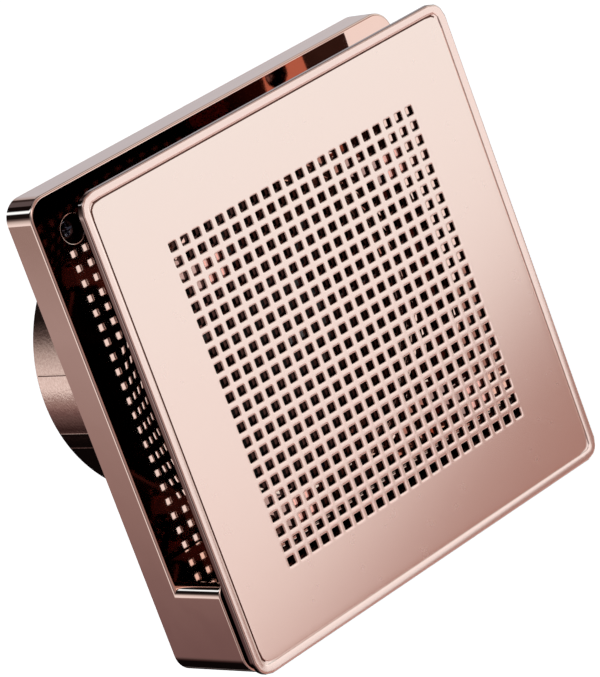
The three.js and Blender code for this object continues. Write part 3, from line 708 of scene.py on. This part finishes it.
def tray():
    """The casing's hollow tray with the wiring box along its bottom edge."""
    half, inner = CASING_HALF, CASING_HALF - WALL
    shell = square_slab("casing_fine", half, CASING_CORNER, FACE, 0, 1.0, 8)
    box = slab("wiring_box", (-half, half, -half, BOX_TOP, 4, CASING_CORNER), BOX_FRONT, FACE + WALL, 0.8, 8)
    shell = join(shell, box)
    box_room = (-inner, inner, -inner, BOX_TOP - WALL, 2, CASING_INNER_CORNER)
    return cut(
        shell,
        square_slab("hollow", inner, CASING_INNER_CORNER, FACE + WALL, 1),
        slab("box_hollow", box_room, BOX_FRONT + WALL, 1),
    )


def open_inlet(shell):
    """Add the trumpet and its sill, and cut the flared way through to the throat."""
    middle = BOX_TOP - WALL / 2
    rear = [(46, FACE + 1), (INLET_MOUTH + 1, FACE + 1)] + inlet_curve(WALL)[1:] + [(46, INLET_END)]
    trumpet = keep(revolve("trumpet", rear, 160), above_box(middle))
    sill = block("sill", -SILL_HALF, SILL_HALF, FACE + 0.5, INLET_END, BOX_TOP - WALL, BOX_TOP - 0.01)
    shell = join(shell, trumpet, sill)
    flare = [(0, -60), (INLET_MOUTH, -60)] + inlet_curve() + [(INLET_THROAT, 5), (0, 5)]
    mouth = keep(revolve("mouth", flare, 160), block("upper", -BEYOND, BEYOND, -59, 4, BOX_TOP, BEYOND))
    throat = rod("throat", 0, 0, INLET_THROAT, FACE - 1, 1, 160)
    return cut(shell, mouth, keep(throat, above_box(middle)))


def screw_well(shell, x, z):
    """A round sunk well with a softened lip, and the screw's way through its floor."""
    boss = rod("boss", x, z, WELL_RADIUS + 1.5, FACE + 1, WELL_FLOOR + 1.6)
    pocket = [
        (0, FACE - 1), (WELL_RADIUS + 0.5, FACE - 1), (WELL_RADIUS + 0.5, FACE),
        (WELL_RADIUS + 0.32, FACE + 0.04), (WELL_RADIUS + 0.1, FACE + 0.18), (WELL_RADIUS, FACE + 0.5),
        (WELL_RADIUS, WELL_FLOOR), (0, WELL_FLOOR),
    ]
    shell = join(shell, boss)
    return cut(shell, revolve("pocket", pocket, 64, x, z), rod("way", x, z, SCREW_WAY, FACE, WELL_FLOOR + 3))


def peg_socket(shell, x, z):
    """The bored tube that takes one of the cover's pegs."""
    outer = SOCKET_RADIUS + SOCKET_WALL
    front, back = SOCKET_ENDS
    tube = [
        (0, front), (outer - 0.4, front), (outer, front + 0.4), (outer, back - 0.4), (outer - 0.4, back),
        (0, back),
    ]
    shell = join(shell, revolve("tube", tube, 48, x, z))
    return cut(shell, rod("socket", x, z, SOCKET_RADIUS, front - 1, back - 1.4))


def casing_shell():
    shell = open_inlet(tray())
    for side in (-1, 1):
        shell = screw_well(shell, side * CASING_SCREW[0], CASING_SCREW[1])
        hook = side * HOOK_OFFSET
        ends = (hook - HOOK_HALF - SLOT_GAP, hook + HOOK_HALF + SLOT_GAP)
        depths = (HOOK_FRONT - SLOT_GAP, -1.5)
        shell = cut(shell, block("slot", *ends, *depths, -CASING_HALF - 1, -CASING_HALF + 2.5))
        for z in (-PEG_OFFSET, PEG_OFFSET):
            shell = peg_socket(shell, side * PEG_OFFSET, z)
    finish(shell, "casing", POLISHED, ["casing_shell"], 28)
    # Painted shade: the walls and floor of each screw well get the dark recess material.
    shell.data.materials.append(RECESS_PAINTED_SHADE)
    for face in shell.data.polygons:
        x, z = abs(face.center.x / MM), face.center.z / MM
        depth = (face.center.y - WALL_PLANE) / MM
        in_well = math.hypot(x - CASING_SCREW[0], z - CASING_SCREW[1]) < WELL_RADIUS + 0.05
        if in_well and depth > FACE + 0.55:
            face.material_index = 1


def screw(node, name, head, height, material=STEEL):
    """A pan-head screw with a cross recess, on the line of its CAD node. The head is a radius."""
    (x0, x1), (top, tip), (z0, z1) = spans(node)
    x, z = (x0 + x1) / 2, (z0 + z1) / 2
    seat = top + height
    shank = head * 0.42
    thread_pitch = 0.55
    profile = [(0, top)]
    for angle in quarter(6)[1:]:
        profile.append((head * (0.45 + 0.55 * math.sin(angle)), top + height * 0.75 * (1 - math.cos(angle))))
    profile += [(head, seat), (shank, seat)]
    for i in range(max(2, int((tip - seat - shank) / thread_pitch))):
        y = seat + 0.2 + i * thread_pitch
        profile += [(shank * 0.86, y), (shank, y + 0.2)]
    profile += [(shank * 0.5, tip - 0.2), (0, tip)]
    made = revolve(name, profile, 40, x, z)
    long, short = head * 0.55, head * 0.1
    for wide, tall in ((short, long), (long, short)):
        recess = block("recess", x - wide, x + wide, top - 1, top + height * 0.6, z - tall, z + tall)
        made = cut(made, recess)
    finish(made, "casing", material, [node])


# ---- Duct housing ----

def post_places():
    """Where the clamp's and the board's screw posts stand, and how far forward each reaches."""
    (clamp_x0, clamp_x1), _, (clamp_z0, clamp_z1) = spans("cable_clamp")
    (board_x0, board_x1), (_, board_back), (board_z0, board_z1) = spans("circuit_board")
    clamp_x, board_z = (clamp_x0 + clamp_x1) / 2, (board_z0 + board_z1) / 2
    return [
        (clamp_x, clamp_z0 + 3, CLAMP_POST_FRONT), (clamp_x, clamp_z1 - 3, CLAMP_POST_FRONT),
        (board_x0 + 4, board_z, board_back + 0.3), (board_x1 - 4, board_z, board_back + 0.3),
    ]


def flange(inside):
    """The flat wall flange with its hooks, holes and screw posts."""
    half = CASING_HALF - WALL - 0.4
    made = square_slab("duct_housing_fine", half, CASING_INNER_CORNER, -FLANGE, 0)
    holes = [rod("bore", 0, 0, inside + SPIGOT_WALL / 2, *THROUGH_FLANGE, 120)]
    for side in (-1, 1):
        for z in (-WALL_HOLE[1], WALL_HOLE[1]):
            holes.append(rod("wall_hole", side * WALL_HOLE[0], z, WALL_HOLE_RADIUS, *THROUGH_FLANGE))
        x, z = side * CASING_SCREW[0], CASING_SCREW[1]
        holes.append(rod("screw_way", x, z, SCREW_WAY, *THROUGH_FLANGE))
        hook = side * HOOK_OFFSET
        ends = (hook - HOOK_HALF, hook + HOOK_HALF)
        made = join(made, block("hook", *ends, HOOK_FRONT, -FLANGE + 0.5, -half - HOOK_REACH, HOOK_ROOT))
    made = cut(made, *holes)
    for x, z, front in post_places():
        made = join(made, rod("post", x, z, POST_RADIUS, front, -FLANGE + 0.5))
        made = cut(made, rod("pilot", x, z, POST_HOLE, front - 1, -FLANGE + 1))
    (x0, x1), _, (z0, z1) = spans("cable_grommet")
    return cut(made, rod("entry", (x0 + x1) / 2, (z0 + z1) / 2, GROMMET_HOLE, *THROUGH_FLANGE))


def spigot(inside):
    """The round tube from the flange to its far end, with a stop inside for the shutter."""
    stop = SHUTTER_Y - 1
    return revolve("tube", [
        (SPIGOT_RADIUS + 0.9, -FLANGE + 0.5), (SPIGOT_RADIUS + 0.9, 0), (SPIGOT_RADIUS + 0.3, 0.1),
        (SPIGOT_RADIUS, 0.8), (SPIGOT_RADIUS, SPIGOT_END - 0.5), (SPIGOT_RADIUS - 0.15, SPIGOT_END - 0.15),
        (SPIGOT_RADIUS - 0.5, SPIGOT_END), (inside + 0.3, SPIGOT_END), (inside, SPIGOT_END - 0.3),
        (inside, stop), (inside - 2.2, stop), (inside - 2.2, stop - 1.2), (inside, stop - 2.6),
        (inside, -FLANGE), (inside + 0.9, -FLANGE),
    ], 200)


def seam(degrees):
    """A fine raised mould line along the spigot."""
    root, crest = SPIGOT_RADIUS - 0.3, SPIGOT_RADIUS + SEAM_HEIGHT
    made = loft("seam", [[(root, y, -1), (root, y, 1), (crest, y, 0)] for y in (1.6, SPIGOT_END - 1)])
    made.data.transform(Matrix.Rotation(math.radians(-degrees), 4, "Y"))
    return made


def spider():
    """The plate on three struts that carries the motor, with its two screw feet."""
    made = rod("spider", 0, 0, SPIDER_RADIUS, SPIDER_FRONT, SPIDER_BACK, 96)
    reach = (SPIDER_RADIUS - 4, SPIGOT_RADIUS - 0.8)
    for i in range(STRUTS):
        strut = block("strut", -STRUT_HALF, STRUT_HALF, STRUT_FRONT, SPIDER_BACK, *reach)
        strut.data.transform(Matrix.Rotation(i * 2 * math.pi / STRUTS, 4, "Y"))
        made = join(made, strut)
    bevel_edges(made, 0.4, 3, 35)
    made = apply_modifiers(made)
    for x in (-MOTOR_SCREW_OFFSET, MOTOR_SCREW_OFFSET):
        made = join(made, rod("foot", x, 0, FOOT_RADIUS, FOOT_FRONT, SPIDER_FRONT + 1))
        made = cut(made, rod("pilot", x, 0, FOOT_HOLE, FOOT_FRONT - 1, SPIDER_FRONT))
    return cut(made, rod("middle", 0, 0, 5, SPIDER_FRONT - 1, SPIDER_BACK + 2.6))


def duct_housing():
    inside = SPIGOT_RADIUS - SPIGOT_WALL
    housing = join(flange(inside), spigot(inside))
    for degrees in SPIGOT_SEAMS:
        housing = join(housing, seam(degrees))
    housing = join(housing, spider())
    for side in (-1, 1):
        ear, bore = sided(side, EAR_INNER, inside + 0.7), sided(side, EAR_INNER - 3.6, inside - 0.2)
        housing = join(housing, upright("ear", 0, SHUTTER_Y, EAR_RADIUS, *ear))
        housing = cut(housing, upright("ear_bore", 0, SHUTTER_Y, EAR_BORE, *bore))
    finish(housing, "casing", SPIGOT_FINISH, ["duct_housing"], 28)


def shutter_flap(node, body, side):
    """Half of a disc, with two ribs and the two knuckles that turn on the pin."""
    front, back = SHUTTER_Y - FLAP_HALF, SHUTTER_Y + FLAP_HALF
    disc = revolve("disc", [
        (0, front), (FLAP_RADIUS - 0.2, front), (FLAP_RADIUS, front + 0.2), (FLAP_RADIUS, back - 0.2),
        (FLAP_RADIUS - 0.2, back), (0, back),
    ], 160)
    flap = keep(disc, block("half", *sided(side, FLAP_GAP, 60), front - 1, back + 1, -60, 60))
    flap.name = node + "_fine"
    for z in (-RIB_Z, RIB_Z):
        flap = join(flap, block("rib", *sided(side, 8, 36), front - 0.8, back - 0.4, z - 0.6, z + 0.6))
    for z0, z1 in KNUCKLES[side]:
        web = block("web", *sided(side, 0, FLAP_GAP + 1), front, back, z0, z1)
        flap = join(flap, web, upright("knuckle", 0, SHUTTER_Y, KNUCKLE_RADIUS, z0, z1))
        flap = cut(flap, upright("pin_way", 0, SHUTTER_Y, KNUCKLE_BORE, z0 - 1, z1 + 1))
    finish(flap, body, DARK, [node])


# ---- Impeller ----

def blade(index):
    """One cambered blade, skinned from its root to its tip. Camber and thickness are shares of the chord."""
    rings = []
    spanwise, chordwise = 14, 20
    for s in range(spanwise + 1):
        share = s / spanwise
        chord = ROOT_CHORD + (TIP_CHORD - ROOT_CHORD) * share
        pitch = math.radians(ROOT_PITCH + (TIP_PITCH - ROOT_PITCH) * share)
        radius = BLADE_ROOT + (BLADE_TIP - BLADE_ROOT) * share
        loop = []
        for i in range(2 * chordwise):
            top = i < chordwise
            u = (i / chordwise if top else 2 - i / chordwise) - 0.5
            thick = BLADE_THICKNESS * math.sqrt(max(0.0, 1 - (2 * u) ** 4)) + 0.004
            v = BLADE_CAMBER * (1 - 4 * u * u) + (thick if top else -thick)
            across = (u * math.cos(pitch) - v * math.sin(pitch)) * chord
            along = (u * math.sin(pitch) + v * math.cos(pitch)) * chord
            loop.append((radius * math.sin(across / radius), along - 0.8, radius * math.cos(across / radius)))
        rings.append(loop)
    made = loft("blade", rings)
    made.data.transform(Matrix.Rotation(index * 2 * math.pi / BLADES, 4, "Y"))
    return made


def impeller():
    shoulder = HUB_RADIUS - HUB_NOSE_RADIUS
    nose = [(SHAFT_HOLE, HUB_FRONT)] + [
        (HUB_NOSE_RADIUS + shoulder * math.sin(a), HUB_FRONT + HUB_NOSE - HUB_NOSE * math.cos(a))
        for a in quarter(10)
    ]
    skirt = [(HUB_RADIUS, 6.7), (HUB_RADIUS - 0.3, 7), (HUB_RADIUS - 1.3, 7), (HUB_RADIUS - 1.6, 6.7)]
    inside = [(HUB_RADIUS - 1.6, -4.6), (HUB_RADIUS - 2.4, -6.4), (14, -7), (4.6, -7)]
    hub = revolve("impeller_fine", nose + skirt + inside + [(4.6, 6.2), (SHAFT_HOLE, 6.2)], 112)
    hub = join(hub, *[blade(i) for i in range(BLADES)])
    finish(hub, "fan_rotor", DARK, ["impeller"], 35)


def cad_looks():
    """Materials and softened edges for the CAD pieces that are shown as they are."""
    looks = {
        STEEL: ("shutter_pin", "impeller_nut", "motor_shaft"),
        LAMINATION: ("rotor", "stator_core"),
        NYLON: ("coil_bobbin", "terminal_block", "cable_clamp"),
        TAPE: ("coil_winding",),
        ZINC: ("bearing_bracket_front", "bearing_bracket_rear"),
        BRONZE: ("bush_front", "bush_rear"),
        RUBBER: ("cable_grommet",),
        BOARD: ("circuit_board",),
        YELLOW: ("film_capacitor",),
        BLACK: ("relay",),
        BROWN: ("motor_lead_live",),
        BLUE: ("motor_lead_neutral",),
    }
    for material, nodes in looks.items():
        for node in nodes:
            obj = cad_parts[node]
            obj.data.materials.clear()
            obj.data.materials.append(material)
            bevel_edges(obj, 0.15, 2, 40)


# ---- Studio ----

def surroundings():
    """What the plating reflects. The camera itself sees plain white."""
    world = bpy.data.worlds.new("studio")
    scene.world = world
    world.use_nodes = True
    graph = Graph(world.node_tree)
    graph.tree.nodes.clear()
    way = graph.axes(graph.add("ShaderNodeTexCoord").outputs["Generated"])

    # Behind the object, bands by the turn about Y.
    around = graph.maths("ARCTAN2", way["Z"], way["X"])
    turn = graph.maths("ADD", graph.maths("DIVIDE", around, 2 * math.pi), 0.5)
    behind = graph.ramp(turn, [
        (0.0, (0.66, 0.66, 0.67)), (0.03, (0.95, 0.97, 1.0)), (0.0525, (0.97, 1.0, 1.03)),
        (0.0535, (0.30, 0.235, 0.22)), (0.062, (0.42, 0.35, 0.35)), (0.0733, (0.30, 0.22, 0.215)),
        (0.0833, (0.175, 0.113, 0.118)), (0.10, (0.14, 0.10, 0.10)), (0.125, (0.045, 0.025, 0.025)),
        (0.15, (0.004, 0.003, 0.003)), (0.305, (0.004, 0.003, 0.003)), (0.31, (0.35, 0.33, 0.33)),
        (0.318, (0.02, 0.02, 0.02)), (0.45, (0.02, 0.015, 0.015)), (0.53, (0.66, 0.69, 0.73)),
        (0.555, (0.56, 0.59, 0.64)), (0.60, (0.52, 0.53, 0.57)), (0.64, (0.45, 0.42, 0.42)),
        (0.653, (0.04, 0.03, 0.03)), (0.686, (0.04, 0.03, 0.03)), (0.70, (0.11, 0.10, 0.11)),
        (0.766, (0.11, 0.10, 0.11)), (0.778, (0.006, 0.004, 0.004)), (0.836, (0.006, 0.004, 0.004)),
        (0.853, (1.2, 1.6, 1.8)), (0.872, (1.2, 1.6, 1.8)), (0.886, (0.01, 0.008, 0.008)),
        (0.94, (0.01, 0.008, 0.008)), (0.965, (0.14, 0.12, 0.12)), (0.985, (0.50, 0.49, 0.49)),
        (1.0, (0.66, 0.66, 0.67)),
    ])

    # In front of it, a tone by height times a tint by the turn about Z.
    height = graph.ramp(graph.maths("ADD", graph.maths("MULTIPLY", way["Z"], 0.5), 0.5), [
        (0.0, (0.48, 0.27, 0.24)), (0.2, (0.48, 0.27, 0.24)), (0.32, (0.37, 0.222, 0.195)),
        (0.45, (0.38, 0.232, 0.205)), (0.6, (0.44, 0.31, 0.28)), (1.0, (0.41, 0.29, 0.265)),
    ])
    across = graph.maths("DIVIDE", graph.maths("ARCTAN2", way["Y"], way["X"]), -math.pi)
    tint = graph.ramp(across, [
        (0.0, (2.0, 3.1, 3.4)), (0.14, (2.0, 3.1, 3.4)), (0.19, (1, 1, 1)), (0.56, (1, 1, 1)),
        (0.6, (1.0, 1.3, 1.4)), (0.67, (1.0, 1.3, 1.4)), (0.75, (0.75, 0.95, 1.1)),
        (0.88, (0.75, 0.95, 1.1)), (0.91, (0.05, 0.04, 0.04)), (1.0, (0.05, 0.04, 0.04)),
    ])
    ahead = graph.add("ShaderNodeMix", data_type="RGBA", blend_type="MULTIPLY", Factor=1)
    graph.link(height, ahead.inputs["A"])
    graph.link(tint, ahead.inputs["B"])

    share = graph.add("ShaderNodeMapRange", interpolation_type="SMOOTHSTEP")
    share.inputs["From Min"].default_value = -0.1
    share.inputs["From Max"].default_value = 0.25
    graph.link(way["Y"], share.inputs["Value"])
    mix = graph.add("ShaderNodeMix", data_type="RGBA")
    graph.link(share.outputs["Result"], mix.inputs["Factor"])
    graph.link(ahead.outputs["Result"], mix.inputs["A"])
    graph.link(behind, mix.inputs["B"])

    glow = graph.add("ShaderNodeBackground")
    graph.link(mix.outputs["Result"], glow.inputs["Color"])
    plain = graph.add("ShaderNodeBackground", Color=(1, 1, 1, 1))
    choose = graph.add("ShaderNodeMixShader")
    graph.link(graph.add("ShaderNodeLightPath").outputs["Is Camera Ray"], choose.inputs["Fac"])
    graph.link(glow.outputs["Background"], choose.inputs[1])
    graph.link(plain.outputs["Background"], choose.inputs[2])
    graph.link(choose.outputs["Shader"], graph.add("ShaderNodeOutputWorld").inputs["Surface"])


def softbox(name, place, target, across, width, height, radiance, colour=(1, 1, 1)):
    """A rectangular light that faces its target, with its width along the across direction."""
    data = bpy.data.lights.new(name, "AREA")
    data.shape = "RECTANGLE"
    data.size, data.size_y = width, height
    data.energy = math.pi * width * height * radiance
    data.color = colour
    light = bpy.data.objects.new(name, data)
    scene.collection.objects.link(light)
    back = (Vector(place) - Vector(target)).normalized()
    side = (Vector(across) - back * back.dot(Vector(across))).normalized()
    axes = Matrix((side, back.cross(side), back)).transposed().to_4x4()
    light.matrix_world = Matrix.Translation(place) @ axes
    light.visible_camera = False


def lights():
    """A key light that the cover's satin face mirrors towards the camera, and a soft fill."""
    centre = Vector((-0.076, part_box("front_cover")[0].y, 0.118))
    distance = 0.34
    place = centre + distance * Vector((0.592, -0.766, -0.25))
    softbox("key", place, centre, (0.62, 0, -0.785), 0.34, 0.4, 0.72, (0.86, 1.04, 1.09))
    softbox("fill", (-0.9, -0.9, 0.9), (0, 0, 0), (1, 0, 0), 0.8, 0.8, 1)


def floor():
    """A white floor well below the object, which glossy surfaces don't reflect."""
    size, level = 4.0, -0.42
    corners = [(-size, -size, level), (size, -size, level), (size, size, level), (-size, size, level)]
    mesh = bpy.data.meshes.new("floor")
    mesh.from_pydata(corners, [], [(0, 1, 2, 3)])
    obj = bpy.data.objects.new("floor", mesh)
    scene.collection.objects.link(obj)
    paint = Finish("floor_paint", Roughness=0.9, Emission_Color=(1, 1, 1, 1), Emission_Strength=0.75)
    white = paint.ramp(paint.noise(3, 4), [(0.3, (0.9, 0.9, 0.9)), (0.7, (0.94, 0.94, 0.94))])
    paint.drive("Base Color", white)
    obj.data.materials.append(paint.material)
    obj.visible_glossy = False


def camera():
    """The photo's point of view: a long lens, panned from Y, tilted down and rolled."""
    data = bpy.data.cameras.new("camera")
    data.lens = CAMERA_LENS
    data.sensor_width = 36
    obj = bpy.data.objects.new("camera", data)
    scene.collection.objects.link(obj)
    pan = Matrix.Rotation(math.radians(CAMERA_PAN), 4, "Z")
    tilt = Matrix.Rotation(math.radians(90 + CAMERA_TILT), 4, "X")
    roll = Matrix.Rotation(math.radians(CAMERA_ROLL), 4, "Z")
    place = Matrix.Translation(Vector(CAMERA_PLACE) + Vector((0, WALL_PLANE, 0)))
    obj.matrix_world = place @ pan @ tilt @ roll
    scene.camera = obj


front_cover()
for side in ("left", "right"):
    for height in ("top", "bottom"):
        cover_peg(f"cover_peg_{height}_{side}")
casing_shell()
for side in ("left", "right"):
    screw("casing_screw_" + side, "casing_screw_fine_" + side, 3.6, 2.4, BLACKENED)
    screw("motor_screw_" + side, "motor_screw_fine_" + side, 2.8, 2.0)
for index in (1, 2, 3):
    screw(f"terminal_screw_{index}", f"terminal_screw_fine_{index}", 2.4, 2.2)
for index in (1, 2):
    screw(f"clamp_screw_{index}", f"clamp_screw_fine_{index}", 2.5, 1.8)
    screw(f"board_screw_{index}", f"board_screw_fine_{index}", 2.5, 1.8)
duct_housing()
shutter_flap("shutter_flap_right", "shutter_right", 1)
shutter_flap("shutter_flap_left", "shutter_left", -1)
impeller()
cad_looks()

scene.view_settings.view_transform = "Standard"
surroundings()
lights()
floor()
camera()
